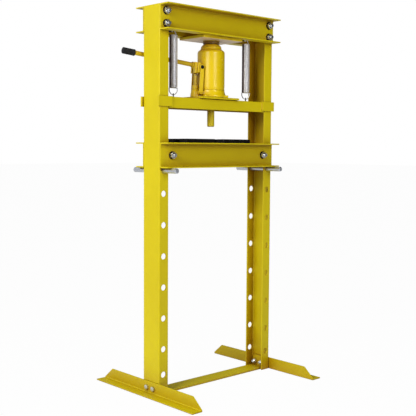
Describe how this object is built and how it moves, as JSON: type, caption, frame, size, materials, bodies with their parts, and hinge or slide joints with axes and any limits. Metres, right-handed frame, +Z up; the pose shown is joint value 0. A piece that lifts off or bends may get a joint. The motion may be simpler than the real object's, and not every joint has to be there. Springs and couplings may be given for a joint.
{
  "type": "hydraulic shop press",
  "caption": "Floor-standing H-frame shop press: channel-steel frame, height-adjustable pinned bed and a hand-pumped bottle jack on a spring-returned carriage.",
  "frame": {"origin": "on the floor, midway between the columns and straight below the jack's axis", "axes": "+Z up; X along the beams from the handle's column (-X) to the other; -Y is the operator's side"},
  "size_m": [0.7536, 0.615, 1.542],
  "materials": {
    "press_paint": "satin",
    "jack_paint": "gloss",
    "zinc": "zinc plated",
    "spring_steel": "zinc plated",
    "black_steel": "matt black",
    "ground_steel": "ground",
    "rubber": "matt"
  },
  "bodies": {
    "frame": {"column_left": "press_paint", "column_right": "press_paint", "floor_strut": "press_paint", "foot_bolt_left_front": "zinc", "foot_bolt_left_rear": "zinc", "foot_bolt_right_front": "zinc", "foot_bolt_right_rear": "zinc", "foot_left": "press_paint", "foot_right": "press_paint", "ram_seat_ring": "press_paint", "spring_hanger_left": "black_steel", "spring_hanger_right": "black_steel", "spring_left": "spring_steel", "spring_right": "spring_steel", "top_beam_front": "press_paint", "top_beam_rear": "press_paint", "top_bolt_left_lower": "zinc", "top_bolt_left_upper": "zinc", "top_bolt_right_lower": "zinc", "top_bolt_right_upper": "zinc", "top_nut_left_lower": "zinc", "top_nut_left_upper": "zinc", "top_nut_right_lower": "zinc", "top_nut_right_upper": "zinc", "top_press_plate": "press_paint"},
    "carriage": {"carriage_channel": "press_paint", "guide_strap_left_front": "press_paint", "guide_strap_left_rear": "press_paint", "guide_strap_right_front": "press_paint", "guide_strap_right_rear": "press_paint", "jack_plate": "press_paint", "press_pin": "press_paint", "spring_eye_left": "black_steel", "spring_eye_right": "black_steel", "jack_base": "jack_paint", "jack_reservoir": "jack_paint", "jack_cylinder": "ground_steel", "jack_cap": "jack_paint", "filler_plug": "rubber", "pump_cylinder": "jack_paint"},
    "ram": {"jack_ram": "ground_steel"},
    "link": {"pump_link": "jack_paint"},
    "lever": {"handle_socket": "jack_paint", "plunger_pin": "zinc"},
    "handle": {"pump_handle": "jack_paint", "handle_grip": "rubber"},
    "plunger": {"pump_plunger": "ground_steel"},
    "valve": {"release_valve": "zinc"},
    "bed": {"bed_bolt_left": "zinc", "bed_bolt_right": "zinc", "bed_channel_front": "press_paint", "bed_channel_rear": "press_paint", "bed_nut_left": "zinc", "bed_nut_right": "zinc", "bed_spacer_left": "zinc", "bed_spacer_right": "zinc"},
    "arbor_left": {"arbor_plate_left": "black_steel"},
    "arbor_right": {"arbor_plate_right": "black_steel"},
    "pin_left": {"bed_pin_left": "zinc"},
    "pin_right": {"bed_pin_right": "zinc"}
  },
  "joints": [
    {"name": "carriage_travel", "type": "slide", "parent": "frame", "child": "carriage", "axis": [0, 0, -1], "range_m": [0, 0.105], "deforming": ["spring_left", "spring_right"]},
    {"name": "ram_extend", "type": "slide", "parent": "carriage", "child": "ram", "axis": [0, 0, 1], "range_m": [0, 0.105]},
    {"name": "link_swing", "type": "hinge", "parent": "carriage", "child": "link", "pos_m": [-0.0639, 0.01653, 1.216], "axis": [0.2504, 0.9681, 0], "range_deg": [-4.44, 1.78]},
    {"name": "pump_lever", "type": "hinge", "parent": "link", "child": "lever", "pos_m": [-0.05809, 0.01502, 1.318], "axis": [0.2504, 0.9681, 0], "range_deg": [-20, 8]},
    {"name": "plunger_stroke", "type": "slide", "parent": "carriage", "child": "plunger", "axis": [0, 0, 1], "range_m": [-0.00384, 0.00154]},
    {"name": "handle_pullout", "type": "slide", "parent": "lever", "child": "handle", "axis": [-0.9599, 0.2482, 0.1305], "range_m": [0, 0.018]},
    {"name": "release_turn", "type": "hinge", "parent": "carriage", "child": "valve", "pos_m": [-0.0244, 0.05481, 1.2125], "axis": [-0.4067, 0.9135, 0], "range_deg": [0, 270]},
    {"name": "bed_lift", "type": "slide", "parent": "frame", "child": "bed", "axis": [0, 0, 1], "range_m": [0, 0.012]},
    {"name": "arbor_left_slide", "type": "slide", "parent": "bed", "child": "arbor_left", "axis": [-1, 0, 0], "range_m": [0, 0.04]},
    {"name": "arbor_right_slide", "type": "slide", "parent": "bed", "child": "arbor_right", "axis": [1, 0, 0], "range_m": [0, 0.04]},
    {"name": "bed_pin_left_pull", "type": "slide", "parent": "frame", "child": "pin_left", "axis": [0, -1, 0], "range_m": [0, 0.17]},
    {"name": "bed_pin_right_pull", "type": "slide", "parent": "frame", "child": "pin_right", "axis": [0, -1, 0], "range_m": [0, 0.17]}
  ],
  "couplings": [
    {"joint": "ram_extend", "follows": "carriage_travel", "ratio": 1},
    {"joint": "link_swing", "follows": "pump_lever", "ratio": 0.222},
    {"joint": "plunger_stroke", "follows": "pump_lever", "m_per_rad": 0.011}
  ]
}
